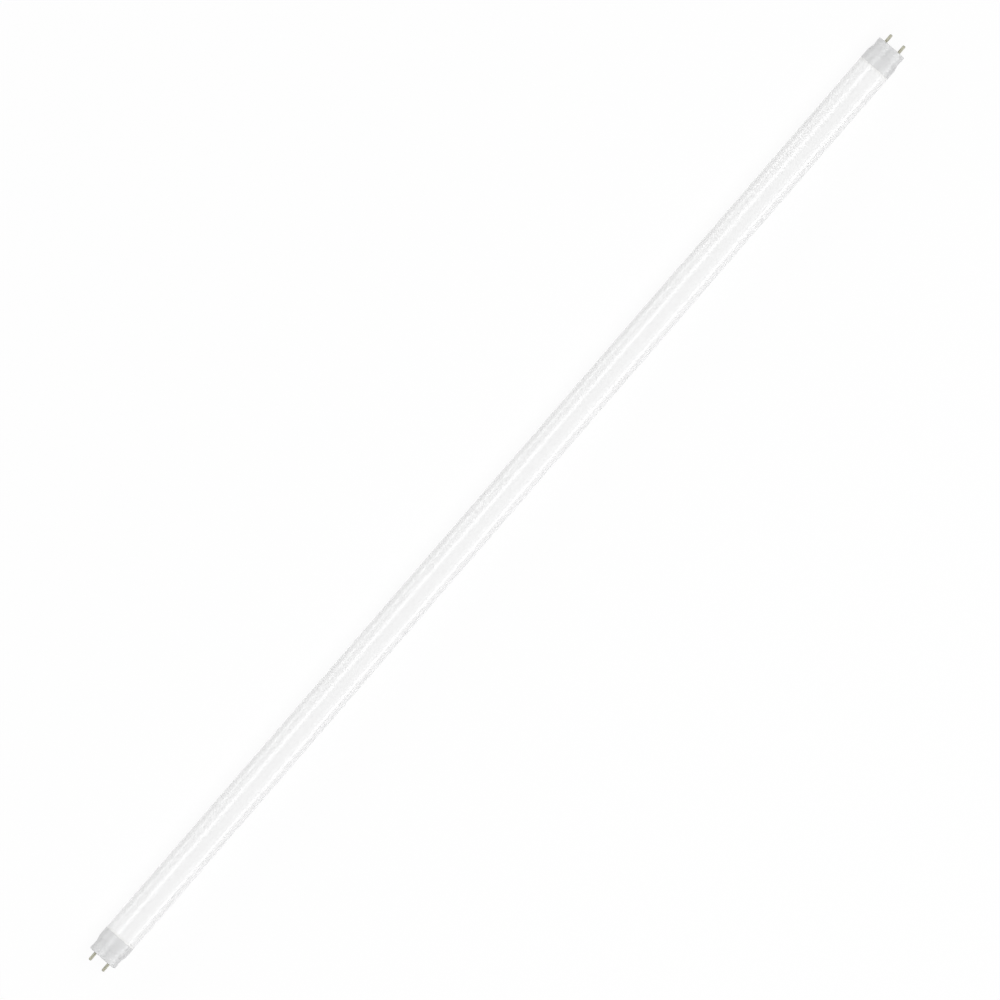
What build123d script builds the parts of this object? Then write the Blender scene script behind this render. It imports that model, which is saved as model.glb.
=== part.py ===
from build123d import *
import math
import os

os.makedirs("parts", exist_ok=True)

# A straight glass LED tube of the 26 mm class with two contact pins on each end, in millimetres.
# X runs along the tube towards the end that takes the mains. Z points to the tube's back, away
# from the side that is lit. The origin is the middle of the tube's axis.
# A depth is measured inwards from the outer face of an end cap.

# Whole tube
face_length = 894.6            # from the outer face of one cap to the other's
pin_spacing = 12.7
pin_diameter = 2.35
pin_reach = 7.1                # how far a pin stands out of the face

# Glass, drawn in to a neck at each end
glass_diameter = 26.0
glass_wall = 0.8
neck_drop = 1.25               # how much smaller the neck's radius is
shoulder_angle = 45.0
neck_round = 1.0
shoulder_inner_round = 0.4
glass_rim_bevel = 0.25
glass_end_gap = 0.2            # from the cap's inner seat to the glass rim
mouth_gap = 0.2                # from the cap's mouth to the start of the shoulder

# End cap, one moulding
cap_length = 20.0
rim_diameter = 24.2            # the barrel's rim at the face
rim_length = 3.4
waist_drop = 0.2               # the barrel behind the rim is this much smaller in radius
waist_taper = 0.5
step_depth = 7.9               # where the barrel starts to widen to the skirt
step_slope = 4.0
face_edge_round = 0.8
step_base_round = 4.0
step_top_round = 6.0
mouth_bevel = 0.15
mouth_chamfer = 0.3
skirt_wall = 1.1
face_wall = 2.2
barrel_bore = 10.75
seat_depth = 11.4              # the inner seat that stops the glass
bore_corner_bevel = 0.8
face_recess = 0.4
face_recess_radius = 10.1
island_width = 6.8             # the raised field round the two pins
boss_radius = 2.6
boss_height = 3.0
index_width = 1.6              # the groove that shows how the tube is turned
index_depth = 0.45
index_start = 1.9
index_end = 8.5
gate_radius = 0.8
gate_depth = 0.3
rail_thickness = 1.0
rail_grip = 1.2                # how far a rail reaches over the board's edge
rail_setback = 0.4             # the rails stop this far before the glass seat
slot_clearance = 0.2
cut_over = 1.0                 # how far a cut reaches past the surface it opens

# Cement between cap and glass
cement_gap = 0.15
cement_inset = 1.0             # the cement starts this far in from the glass rim
bead_drop = 0.15               # the visible bead lies this far below the glass's surface

# Contact pins, pushed into the cap from inside
pin_fit = 0.02
pin_tip_taper = 0.6
pin_tip_radius = 0.75
pin_root_step = 0.12           # the cone where a pin leaves the face is this much wider
pin_root_height = 0.15
pin_shank_radius = 1.4
pin_flange_radius = 1.9
pin_flange_thickness = 0.6
pin_tail_radius = 1.4
pin_tail_length = 2.5
pin_bore_stop = 1.2            # the wire's bore ends this far in from the face

# Wires from the pins to the boards
wire_radius = 0.4
wire_fit = 0.05
wire_bend = 2.0
wire_rise_gap = 4.0            # from the pin's tail to where the wire turns up

# Soldered leads
lead_radius = 0.3
lead_bend = 0.8
lead_stub = 0.3
solder_gap = 0.12
solder_spread = 0.5
solder_height = 0.8

# Boards at the two ends
board_thickness = 1.0
board_height = 3.0             # the underside of both end boards above the axis
board_end_gap = 0.2
board_margin = 2.5
board_corner_round = 0.8
terminal_board_length = 24.0

# Insulating sleeve round the driver
sleeve_wall = 0.25
sleeve_gap = 0.3
sleeve_fit = 0.02
sleeve_top = 7.15
sleeve_corner_round = 1.0
sleeve_seat_gap = 0.9          # the sleeve starts this far in from the cap's glass seat
sleeve_header_gap = 1.2

# Board with the LEDs, bonded to the back of the glass
led_board_width = 10.0
led_board_thickness = 1.0
led_board_glass_gap = 0.3
led_board_end_gap = 2.4
bed_width = 5.6                # the strip of silicone that bonds the board
led_pitch = 11.7
led_length = 3.5
led_width = 2.8
led_height = 0.8
led_window_length = 2.7
led_window_width = 2.0
led_window_depth = 0.4
led_window_taper = 20
led_end_margin = 5.0

# Header that joins an end board to the LED board
header_pitch = 2.54
header_places = 4              # only the two outer places hold a pin
header_width = 2.5
header_height = 2.5
header_chamfer = 0.5
header_pin = 0.64
header_hole_fit = 0.05
header_stub = 0.2

# Parts under the driver board, in their order from the contact pins inwards
row_start_gap = 2.0
row_gap = 1.0
fuse_body_radius = 1.6
fuse_body_length = 8.0
fuse_lead_pitch = 12.0
fuse_end_bevel = 0.4
varistor_radius = 3.5
varistor_thickness = 3.6
varistor_pitch = 5.0
varistor_standoff = 1.0
varistor_edge_bevel = 0.9
film_length = 10.0
film_width = 5.0
film_height = 8.0
film_pitch = 7.5
film_edge_bevel = 0.5
drum_radius = 4.0
drum_height = 9.5
drum_hub_radius = 1.9
drum_flange = 1.3
drum_winding_inset = 0.5
drum_pin_spacing = 5.2
bulk_radius = 5.0
bulk_length = 16.0
bulk_pitch = 5.0
output_radius = 4.0
output_length = 12.0
output_pitch = 3.5
can_edge_bevel = 0.4
can_groove_depth = 0.45
can_groove_width = 1.2
can_groove_place = 2.0
can_lead_run = 2.2
choke_core_length = 10.2
choke_core_depth = 4.8
choke_core_height = 11.0
choke_yoke = 2.4
choke_side_leg = 1.5
choke_centre_leg = 2.6
choke_slip = 0.1               # between the core and the bobbin in it
choke_bobbin_wall = 0.5
choke_flange = 0.6
choke_overhang = 2.6           # how far the flanges stand out of the core's sides
choke_winding_inset = 0.4
choke_rail_width = 2.0
choke_pin_spacing = 7.0

# Parts on top of the driver board
package_standoff = 0.1
package_taper = 7
package_lead_thickness = 0.2
package_foot = 0.8
rectifier_size = (4.7, 3.9, 2.4)
rectifier_pitch = 2.5
rectifier_lead_width = 0.65
chip_size = (4.9, 3.9, 1.5)
chip_pitch = 1.27
chip_lead_width = 0.42
diode_size = (2.6, 4.3, 2.2)
diode_lead_width = 1.4
terminal_fuse_size = (3.2, 6.1, 2.6)
terminal_fuse_lead_width = 2.4

# Worked out from the sizes above
glass_radius = glass_diameter / 2
neck_radius = glass_radius - neck_drop
neck_bore = neck_radius - glass_wall
glass_end_depth = seat_depth + glass_end_gap
neck_corner_depth = cap_length + mouth_gap
shoulder_end_depth = neck_corner_depth + neck_drop / math.tan(math.radians(shoulder_angle))
rim_radius = rim_diameter / 2
waist_radius = rim_radius - waist_drop
skirt_bore = neck_radius + cement_gap
skirt_radius = skirt_bore + skirt_wall
boss_end_depth = face_wall + boss_height
pin_flange_depth = boss_end_depth + pin_flange_thickness
pin_tail_depth = pin_flange_depth + pin_tail_length
wire_rise_depth = pin_tail_depth + wire_rise_gap
board_start_depth = pin_flange_depth + board_end_gap
board_top = board_height + board_thickness
sleeve_radius = neck_bore - sleeve_gap
sleeve_start = seat_depth + sleeve_seat_gap
board_corner_radius = sleeve_radius - sleeve_wall - sleeve_fit
board_half_width = math.sqrt(board_corner_radius**2 - board_top**2)
tube_bore = glass_radius - glass_wall
led_board_top = math.sqrt((tube_bore - led_board_glass_gap) ** 2 - (led_board_width / 2) ** 2)
led_board_bottom = led_board_top - led_board_thickness
led_board_half_length = face_length / 2 - shoulder_end_depth - led_board_end_gap
header_half_spacing = header_pitch * (header_places - 1) / 2
wire_hole = wire_radius + solder_gap
lead_hole = lead_radius + solder_gap
header_hole = header_pin * math.sqrt(2) / 2 + header_hole_fit
choke_rail_place = choke_core_depth / 2 + choke_slip + choke_rail_width / 2


def at_depth(depth):
    return face_length / 2 - depth


def cross_plane(depth):
    # A plane across the tube: its own x is Y, its own y is Z, and it looks out of the end.
    return Plane(origin=(at_depth(depth), 0, 0), x_dir=(0, 1, 0), z_dir=(1, 0, 0))


def rod_outwards(depth, y, radius, length):
    base = (Align.CENTER, Align.CENTER, Align.MIN)
    return cross_plane(depth) * Pos(y, 0, 0) * Cylinder(radius, length, align=base)


def upright(x, y, bottom, radius, height):
    base = (Align.CENTER, Align.CENTER, Align.MIN)
    return Pos(x, y, bottom) * Cylinder(radius, height, align=base)


def pin_places_y():
    return (-pin_spacing / 2, pin_spacing / 2)


def turned(outline):
    return revolve(make_face(outline), Axis.X)


def bent_wire(points, radius, bend):
    path = FilletPolyline(*points, radius=bend)
    return sweep(Plane(origin=path @ 0, z_dir=path % 0) * Circle(radius), path)


def far_side(piece):
    # The same piece at the other end, turned half round about the upright axis.
    return Rot(0, 0, 180) * piece


# Driver row: each part's length along the board, and the middle of its place
row_lengths = {
    "fuse": fuse_lead_pitch + 2 * lead_hole,
    "varistor": varistor_thickness,
    "film": film_length,
    "drum": 2 * drum_radius,
    "bulk": bulk_length + can_lead_run + lead_hole,
    "choke": choke_core_length,
    "output": output_length + can_lead_run + lead_hole,
}
row_places = {}
row_depth = wire_rise_depth + row_start_gap
for part_name, part_length in row_lengths.items():
    row_places[part_name] = at_depth(row_depth + part_length / 2)
    row_depth += part_length + row_gap
input_header_depth = row_depth + header_width / 2
driver_board_end = input_header_depth + board_margin
terminal_board_end = board_start_depth + terminal_board_length
far_header_depth = terminal_board_end - board_margin
terminal_fuse_place = at_depth((wire_rise_depth + far_header_depth) / 2)
bulk_middle = row_places["bulk"] + (can_lead_run + lead_hole) / 2
output_middle = row_places["output"] + (can_lead_run + lead_hole) / 2


# Glass


def glass_corners(inset):
    # Neck corner, shoulder corner and rim of the line that lies this far inside the glass.
    shift = inset * math.tan(math.radians(shoulder_angle / 2))
    wide = (at_depth(shoulder_end_depth) - shift, glass_radius - inset)
    narrow = (at_depth(neck_corner_depth) - shift, neck_radius - inset)
    rim = (at_depth(glass_end_depth), neck_radius - inset)
    return wide, narrow, rim


def glass_line(inset):
    near = glass_corners(inset)
    far = [(-x, radius) for x, radius in reversed(near)]
    rounds = [neck_round + inset, shoulder_inner_round + glass_wall - inset]
    return FilletPolyline(*far, *near, radius=rounds + rounds[::-1])


def glass_tube():
    end = at_depth(glass_end_depth)
    lines = glass_line(0).edges() + glass_line(glass_wall).edges()
    for x in (-end, end):
        lines.append(Line((x, neck_radius), (x, neck_bore)))
    tube = turned(lines)
    circles = tube.edges().filter_by(GeomType.CIRCLE).group_by(Axis.X)
    return chamfer(circles[0] + circles[-1], glass_rim_bevel)


# End cap


def cap_shell():
    # Depth, radius and rounding of each corner of the moulding's half section.
    corners = [
        (0, 0, 0),
        (0, rim_radius, face_edge_round),
        (rim_length, rim_radius, 0),
        (rim_length + waist_taper, waist_radius, 0),
        (step_depth, waist_radius, step_base_round),
        (step_depth + step_slope, skirt_radius, step_top_round),
        (cap_length - mouth_bevel, skirt_radius, 0),
        (cap_length, skirt_radius - mouth_bevel, 0),
        (cap_length, skirt_bore + mouth_chamfer, 0),
        (cap_length - mouth_chamfer, skirt_bore, 0),
        (seat_depth, skirt_bore, 0),
        (seat_depth, barrel_bore, 0),
        (face_wall + bore_corner_bevel, barrel_bore, 0),
        (face_wall, barrel_bore - bore_corner_bevel, 0),
        (face_wall, 0, 0),
    ]
    points = [(at_depth(depth), radius) for depth, radius, _ in corners]
    rounds = [rounding for _, _, rounding in corners]
    return turned(FilletPolyline(*points, radius=rounds, close=True))


def board_rails():
    # Ribs above and below the board's edges, from the face wall to just before the glass.
    length = seat_depth - rail_setback - face_wall / 2
    inner = board_half_width - rail_grip
    width = barrel_bore - inner
    middle = at_depth(face_wall / 2 + length / 2)
    ribs = Part()
    for side in (-1, 1):
        for bottom in (board_height - rail_thickness, board_top + slot_clearance):
            place = Pos(middle, side * (inner + width / 2), bottom + rail_thickness / 2)
            ribs += place * Box(length, width, rail_thickness)
    limit = (barrel_bore + waist_radius) / 2
    return ribs & rod_outwards(seat_depth, 0, limit, seat_depth)


def end_cap():
    cap = cap_shell() + board_rails()
    for y in pin_places_y():
        cap += rod_outwards(boss_end_depth, y, boss_radius, boss_end_depth - face_recess)
    field = Circle(face_recess_radius) - SlotCenterToCenter(pin_spacing, island_width)
    cap -= extrude(cross_plane(face_recess) * field, face_recess + cut_over)
    cap -= rod_outwards(gate_depth, 0, gate_radius, gate_depth + cut_over)
    hole_radius = pin_shank_radius + pin_fit
    for y in pin_places_y():
        cap -= rod_outwards(boss_end_depth, y, hole_radius, boss_end_depth + cut_over)
    groove = SlotOverall(index_end - index_start, index_width)
    floor = Plane(origin=(at_depth((index_start + index_end) / 2), 0, waist_radius - index_depth))
    return cap - extrude(floor * groove, index_depth + skirt_radius - waist_radius)


def cap_cement(glass, cap):
    # Fills what the glass and the skirt leave between them, up to a bead in the joint.
    wide, narrow, rim = glass_corners(glass_wall / 2)
    mouth = at_depth(cap_length)
    start = at_depth(glass_end_depth + cement_inset)
    shoulder = at_depth(shoulder_end_depth)
    in_skirt = skirt_bore + skirt_wall / 2
    bead = glass_radius - bead_drop
    outer = [(start, in_skirt), (mouth, in_skirt), (mouth, bead), (shoulder, bead)]
    return turned(Polyline(wide, narrow, (start, rim[1]), *outer, close=True)) - glass - cap


# Contact pins and their wires


def contact_pin(side):
    # Hollow from behind for the wire; the flange stops it against the boss.
    radius = pin_diameter / 2
    bore = wire_radius + wire_fit
    corners = [
        (-pin_reach, 0),
        (-pin_reach, pin_tip_radius),
        (pin_tip_taper - pin_reach, radius),
        (-pin_root_height, radius),
        (0, radius + pin_root_step),
        (0, pin_shank_radius),
        (boss_end_depth, pin_shank_radius),
        (boss_end_depth, pin_flange_radius),
        (pin_flange_depth, pin_flange_radius),
        (pin_flange_depth, pin_tail_radius),
        (pin_tail_depth, pin_tail_radius),
        (pin_tail_depth, bore),
        (pin_bore_stop, bore),
        (pin_bore_stop, 0),
    ]
    pin = turned(Polyline(*[(at_depth(depth), r) for depth, r in corners], close=True))
    return Pos(0, side * pin_spacing / 2, 0) * pin


def soldered_end(radius):
    # A lead's end in a board: solder fills the hole and rises in a cone round the stub.
    # The board's underside is at zero.
    hole = radius + solder_gap
    cone_top = board_thickness + solder_height
    tip = cone_top + lead_stub
    outline = Polyline(
        (0, 0),
        (hole, 0),
        (hole, board_thickness),
        (hole + solder_spread, board_thickness),
        (radius, cone_top),
        (radius, tip),
        (0, tip),
        close=True,
    )
    return revolve(Plane.XZ * make_face(outline), Axis.Z)


def pin_wire(side):
    y = side * pin_spacing / 2
    turn = at_depth(wire_rise_depth)
    points = [(at_depth(pin_bore_stop), y, 0), (turn, y, 0), (turn, y, board_top)]
    wire = bent_wire(points, wire_radius, wire_bend)
    return wire + Pos(turn, y, board_height) * soldered_end(wire_radius)


# Leaded parts, drawn with the board's underside at zero and the body below it


def straight_leads(places, bottom):
    leads = Part()
    for x, y in places:
        leads += upright(x, y, bottom, lead_radius, board_thickness - bottom)
        leads += Pos(x, y, 0) * soldered_end(lead_radius)
    return leads


def axial_part():
    half = fuse_lead_pitch / 2
    body = Rot(0, 90, 0) * Cylinder(fuse_body_radius, fuse_body_length)
    body = chamfer(body.edges().filter_by(GeomType.CIRCLE), fuse_end_bevel)
    low = -fuse_body_radius
    path = [(-half, 0, board_thickness), (-half, 0, low), (half, 0, low), (half, 0, board_thickness)]
    part = Pos(0, 0, low) * body + bent_wire(path, lead_radius, lead_bend)
    for x in (-half, half):
        part += Pos(x, 0, 0) * soldered_end(lead_radius)
    return part


def varistor():
    low = -varistor_standoff - varistor_radius
    disc = Rot(0, 90, 0) * Cylinder(varistor_radius, varistor_thickness)
    disc = chamfer(disc.edges().filter_by(GeomType.CIRCLE), varistor_edge_bevel)
    places = [(0, -varistor_pitch / 2), (0, varistor_pitch / 2)]
    return Pos(0, 0, low) * disc + straight_leads(places, low)


def film_capacitor():
    body = Pos(0, 0, -film_height / 2) * Box(film_length, film_width, film_height)
    body = chamfer(body.edges().filter_by(Axis.Z), film_edge_bevel)
    body = chamfer(body.faces().sort_by(Axis.Z)[0].edges(), film_edge_bevel)
    places = [(-film_pitch / 2, 0), (film_pitch / 2, 0)]
    return body + straight_leads(places, -film_height / 2)


def drum_core():
    outline = Polyline(
        (0, 0),
        (drum_radius, 0),
        (drum_radius, -drum_flange),
        (drum_hub_radius, -drum_flange),
        (drum_hub_radius, drum_flange - drum_height),
        (drum_radius, drum_flange - drum_height),
        (drum_radius, -drum_height),
        (0, -drum_height),
        close=True,
    )
    core = revolve(Plane.XZ * make_face(outline), Axis.Z)
    hole_radius = lead_radius + pin_fit
    hole_length = drum_flange + 2 * cut_over
    for side in (-1, 1):
        y = side * drum_pin_spacing / 2
        core -= upright(0, y, -drum_flange - cut_over, hole_radius, hole_length)
    return core


def drum_winding():
    height = drum_height - 2 * drum_flange
    ring = Cylinder(drum_radius - drum_winding_inset, height) - Cylinder(drum_hub_radius, height)
    places = [(0, -drum_pin_spacing / 2), (0, drum_pin_spacing / 2)]
    return Pos(0, 0, -drum_height / 2) * ring + straight_leads(places, -drum_flange - height / 2)


def can_capacitor(radius, length, pitch):
    # Lies along the board; the leads leave its inner end and turn up.
    low = -radius
    groove_start = -length / 2 + can_groove_place
    groove_end = groove_start + can_groove_width
    can = Polyline(
        (-length / 2, 0),
        (-length / 2, radius - can_edge_bevel),
        (-length / 2 + can_edge_bevel, radius),
        (groove_start, radius),
        ((groove_start + groove_end) / 2, radius - can_groove_depth),
        (groove_end, radius),
        (length / 2 - can_edge_bevel, radius),
        (length / 2, radius - can_edge_bevel),
        (length / 2, 0),
        close=True,
    )
    can = Pos(0, 0, low) * turned(can)
    turn = -length / 2 - can_lead_run
    for side in (-1, 1):
        y = side * pitch / 2
        path = [(-length / 2 + can_groove_place, y, low), (turn, y, low), (turn, y, board_thickness)]
        can += bent_wire(path, lead_radius, lead_bend) + Pos(turn, y, 0) * soldered_end(lead_radius)
    return can


def choke_window_height():
    return choke_core_height - 2 * choke_yoke


def choke_core():
    window = (choke_core_length - 2 * choke_side_leg - choke_centre_leg) / 2
    core = Box(choke_core_length, choke_core_depth, choke_core_height)
    for side in (-1, 1):
        place = Pos(side * (choke_centre_leg + window) / 2, 0, 0)
        core -= place * Box(window, choke_core_depth, choke_window_height())
    return Pos(0, 0, -choke_core_height / 2) * core


def choke_bobbin():
    height = choke_window_height() - 2 * choke_slip
    hole_x = choke_centre_leg + 2 * choke_slip
    hole_y = choke_core_depth + 2 * choke_slip
    flange_x = choke_core_length - 2 * choke_side_leg - 2 * choke_slip
    flange_y = choke_core_depth + 2 * choke_overhang
    spool = Box(hole_x + 2 * choke_bobbin_wall, hole_y + 2 * choke_bobbin_wall, height)
    for side in (-1, 1):
        place = Pos(0, 0, side * (height - choke_flange) / 2)
        spool += place * Box(flange_x, flange_y, choke_flange)
    spool -= Box(hole_x, hole_y, height)
    spool = Pos(0, 0, -choke_core_height / 2) * spool
    # A rail on each side of the core stands on the board and holds two pins.
    rail_height = choke_yoke + choke_slip + choke_flange
    pins = []
    for side in (-1, 1):
        y = side * choke_rail_place
        spool += Pos(0, y, -rail_height / 2) * Box(choke_core_length, choke_rail_width, rail_height)
        pins += [(-choke_pin_spacing / 2, y), (choke_pin_spacing / 2, y)]
    return spool + straight_leads(pins, -rail_height / 2)


def choke_winding():
    height = choke_window_height() - 2 * choke_slip - 2 * choke_flange
    inner_x = choke_centre_leg + 2 * choke_slip + 2 * choke_bobbin_wall
    inner_y = choke_core_depth + 2 * choke_slip + 2 * choke_bobbin_wall
    outer_x = choke_core_length - 2 * choke_side_leg - 2 * choke_slip - 2 * choke_winding_inset
    outer_y = choke_core_depth + 2 * choke_overhang - 2 * choke_winding_inset
    outer = RectangleRounded(outer_x, outer_y, (outer_x - inner_x) / 2)
    ring = extrude(outer - Rectangle(inner_x, inner_y), height / 2, both=True)
    return Pos(0, 0, -choke_core_height / 2) * ring


# Surface parts, drawn with the top of the board at zero


def surface_part(size, pitch, leads_per_side, lead_width):
    length, width, height = size
    middle = package_standoff + height / 2
    half = extrude(Rectangle(length, width), height / 2, taper=package_taper)
    part = Pos(0, 0, middle) * (half + mirror(half, Plane.XY))
    knee = width / 2 + package_foot / 2
    foot_height = package_lead_thickness / 2
    toe = knee + package_foot
    bend = Polyline((width / 4, middle), (knee, middle), (knee, foot_height), (toe, foot_height))
    strip = extrude(Plane.YZ * trace(bend, package_lead_thickness), lead_width / 2, both=True)
    for place in GridLocations(pitch, 0, leads_per_side, 1):
        part += place * strip + place * mirror(strip, Plane.XZ)
    return part


# Boards, headers and sleeve


def header_places_y():
    return (-header_half_spacing, header_half_spacing)


def header_block():
    block = Part()
    outline = chamfer(Rectangle(header_width, header_pitch).vertices(), header_chamfer)
    for place in GridLocations(0, header_pitch, 1, header_places):
        block += Pos(0, 0, board_top) * place * extrude(outline, header_height)
    for y in header_places_y():
        hole = Box(header_pin, header_pin, header_height + 2 * cut_over)
        block -= Pos(0, y, board_top + header_height / 2) * hole
    return block


def header_pins():
    # Square pins from below the end board to just past the LED board, soldered in both.
    bottom = board_height - solder_height - lead_stub
    top = led_board_top + header_stub
    hole = header_hole
    pins = []
    for y in header_places_y():
        post = Pos(0, y, (bottom + top) / 2) * Box(header_pin, header_pin, top - bottom)
        for low, thickness in ((board_height, board_thickness), (led_board_bottom, led_board_thickness)):
            post += upright(0, y, low, hole, thickness)
            base = Cone(header_pin / 2, hole + solder_spread, solder_height)
            post += Pos(0, y, low - solder_height / 2) * base
        pins.append(post)
    return pins


def end_board(end_depth, holes):
    length = end_depth - board_start_depth
    outline = RectangleRounded(length, 2 * board_half_width, board_corner_round)
    middle = at_depth(board_start_depth + length / 2)
    board = extrude(Plane(origin=(middle, 0, board_height)) * outline, board_thickness)
    for x, y, radius in holes:
        board -= upright(x, y, board_height - cut_over, radius, board_thickness + 2 * cut_over)
    return board


def wire_holes():
    return [(at_depth(wire_rise_depth), y, wire_hole) for y in pin_places_y()]


def header_holes(depth):
    return [(at_depth(depth), y, header_hole) for y in header_places_y()]


def driver_holes():
    fuse, varistor_x, film = row_places["fuse"], row_places["varistor"], row_places["film"]
    bulk_turn = bulk_middle - bulk_length / 2 - can_lead_run
    output_turn = output_middle - output_length / 2 - can_lead_run
    leads = []
    for side in (-1, 1):
        leads.append((fuse + side * fuse_lead_pitch / 2, 0))
        leads.append((varistor_x, side * varistor_pitch / 2))
        leads.append((film + side * film_pitch / 2, 0))
        leads.append((row_places["drum"], side * drum_pin_spacing / 2))
        leads.append((bulk_turn, side * bulk_pitch / 2))
        leads.append((output_turn, side * output_pitch / 2))
        for end in (-1, 1):
            x = row_places["choke"] + end * choke_pin_spacing / 2
            leads.append((x, side * choke_rail_place))
    holes = [(x, y, lead_hole) for x, y in leads]
    return holes + wire_holes() + header_holes(input_header_depth)


def terminal_holes():
    return wire_holes() + header_holes(far_header_depth)


def sleeve_section(inset):
    radius = sleeve_radius - inset
    top = sleeve_top - inset
    outline = Circle(radius) - Pos(0, top + radius) * Rectangle(2 * radius, 2 * radius)
    return fillet(outline.vertices(), sleeve_corner_round - inset)


def driver_sleeve():
    end = input_header_depth - header_width / 2 - sleeve_header_gap
    section = sleeve_section(0) - sleeve_section(sleeve_wall)
    return extrude(cross_plane(end) * section, end - sleeve_start)


# LED board


def led_board():
    middle = (led_board_top + led_board_bottom) / 2
    board = Pos(0, 0, middle) * Box(2 * led_board_half_length, led_board_width, led_board_thickness)
    for x in (at_depth(input_header_depth), -at_depth(far_header_depth)):
        for y in header_places_y():
            length = led_board_thickness + 2 * cut_over
            board -= upright(x, y, led_board_bottom - cut_over, header_hole, length)
    return board


def led_board_bed():
    # The silicone strip takes the round of the glass on its back.
    half = bed_width / 2
    edge = math.sqrt(tube_bore**2 - half**2)
    sides = Polyline((-half, edge), (-half, led_board_top), (half, led_board_top), (half, edge))
    back = ThreePointArc((-half, edge), (0, tube_bore), (half, edge))
    section = Plane.YZ * make_face(sides.edges() + back.edges())
    return extrude(section, led_board_half_length, both=True)


def led_places():
    run = 2 * (led_board_half_length - led_end_margin)
    count = int(run / led_pitch) + 1
    return [(index - (count - 1) / 2) * led_pitch for index in range(count)]


def led_window():
    face = led_board_bottom - led_height
    opening = Plane(origin=(0, 0, face)) * Rectangle(led_window_length, led_window_width)
    return extrude(opening, led_window_depth, taper=led_window_taper)


def led_body():
    body = Pos(0, 0, led_board_bottom - led_height / 2) * Box(led_length, led_width, led_height)
    return body - led_window()


def along_board(piece):
    return Compound([Pos(x, 0, 0) * piece.solid() for x in led_places()])


def at_header(depth, pieces):
    return Compound([Pos(at_depth(depth), 0, 0) * piece.solid() for piece in pieces])


def save(name, piece):
    export_step(piece, f"parts/{name}.step")


# All pieces

glass = glass_tube()
cap = end_cap()
cement = cap_cement(glass, cap)
save("glass_tube", glass)
save("end_cap_input", cap)
save("end_cap_far", far_side(cap))
save("cap_cement_input", cement)
save("cap_cement_far", far_side(cement))
for hand, side in (("left", 1), ("right", -1)):
    save(f"pin_input_{hand}", contact_pin(side))
    save(f"lead_input_{hand}", pin_wire(side))
    save(f"pin_far_{hand}", far_side(contact_pin(-side)))
    save(f"lead_far_{hand}", far_side(pin_wire(-side)))

save("led_board", led_board())
save("led_board_adhesive", led_board_bed())
save("led_bodies", along_board(led_body()))
save("led_phosphors", along_board(led_window()))

under_board = {
    "input_fuse_resistor": (row_places["fuse"], axial_part()),
    "varistor": (row_places["varistor"], varistor()),
    "film_capacitor": (row_places["film"], film_capacitor()),
    "filter_choke_core": (row_places["drum"], drum_core()),
    "filter_choke_winding": (row_places["drum"], drum_winding()),
    "bulk_capacitor": (bulk_middle, can_capacitor(bulk_radius, bulk_length, bulk_pitch)),
    "power_choke_core": (row_places["choke"], choke_core()),
    "power_choke_bobbin": (row_places["choke"], choke_bobbin()),
    "power_choke_winding": (row_places["choke"], choke_winding()),
    "output_capacitor": (output_middle, can_capacitor(output_radius, output_length, output_pitch)),
}
for name, (x, piece) in under_board.items():
    save(name, Pos(x, 0, board_height) * piece)

rectifier = surface_part(rectifier_size, rectifier_pitch, 2, rectifier_lead_width)
chip = surface_part(chip_size, chip_pitch, 4, chip_lead_width)
diode = Rot(0, 0, 90) * surface_part(diode_size, 0, 1, diode_lead_width)
save("bridge_rectifier", Pos(bulk_middle + bulk_length / 4, 0, board_top) * rectifier)
save("control_chip", Pos(bulk_middle - bulk_length / 4, 0, board_top) * chip)
save("freewheel_diode", Pos(output_middle, 0, board_top) * diode)

save("driver_board", end_board(driver_board_end, driver_holes()))
save("driver_sleeve", driver_sleeve())
save("link_header_input", at_header(input_header_depth, [header_block()]))
save("link_pins_input", at_header(input_header_depth, header_pins()))

terminal_fuse = surface_part(terminal_fuse_size, 0, 1, terminal_fuse_lead_width)
save("terminal_board", far_side(end_board(terminal_board_end, terminal_holes())))
save("terminal_fuse", far_side(Pos(terminal_fuse_place, 0, board_top) * terminal_fuse))
save("link_header_far", far_side(at_header(far_header_depth, [header_block()])))
save("link_pins_far", far_side(at_header(far_header_depth, header_pins())))
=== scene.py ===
import math

import bpy
from mathutils import Matrix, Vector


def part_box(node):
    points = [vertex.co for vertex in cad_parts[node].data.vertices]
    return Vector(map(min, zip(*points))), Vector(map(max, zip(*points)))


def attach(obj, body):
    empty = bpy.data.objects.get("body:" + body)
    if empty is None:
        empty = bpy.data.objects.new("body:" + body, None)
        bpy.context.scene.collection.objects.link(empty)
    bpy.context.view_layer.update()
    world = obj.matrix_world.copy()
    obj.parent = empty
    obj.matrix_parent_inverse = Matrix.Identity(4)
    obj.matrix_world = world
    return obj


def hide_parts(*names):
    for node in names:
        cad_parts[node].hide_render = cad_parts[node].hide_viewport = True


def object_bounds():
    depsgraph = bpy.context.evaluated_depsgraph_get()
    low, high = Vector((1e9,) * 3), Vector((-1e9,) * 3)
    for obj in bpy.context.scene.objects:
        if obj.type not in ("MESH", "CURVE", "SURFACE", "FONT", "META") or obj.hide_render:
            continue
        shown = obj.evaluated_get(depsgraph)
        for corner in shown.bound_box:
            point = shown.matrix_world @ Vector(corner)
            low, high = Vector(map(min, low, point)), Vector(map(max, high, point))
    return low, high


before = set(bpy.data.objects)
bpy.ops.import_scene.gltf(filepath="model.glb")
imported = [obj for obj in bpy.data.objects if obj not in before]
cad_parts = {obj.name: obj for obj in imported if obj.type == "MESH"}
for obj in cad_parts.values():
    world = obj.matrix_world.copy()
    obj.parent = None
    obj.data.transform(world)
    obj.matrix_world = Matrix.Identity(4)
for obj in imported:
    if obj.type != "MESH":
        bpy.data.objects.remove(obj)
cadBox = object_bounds()
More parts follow.
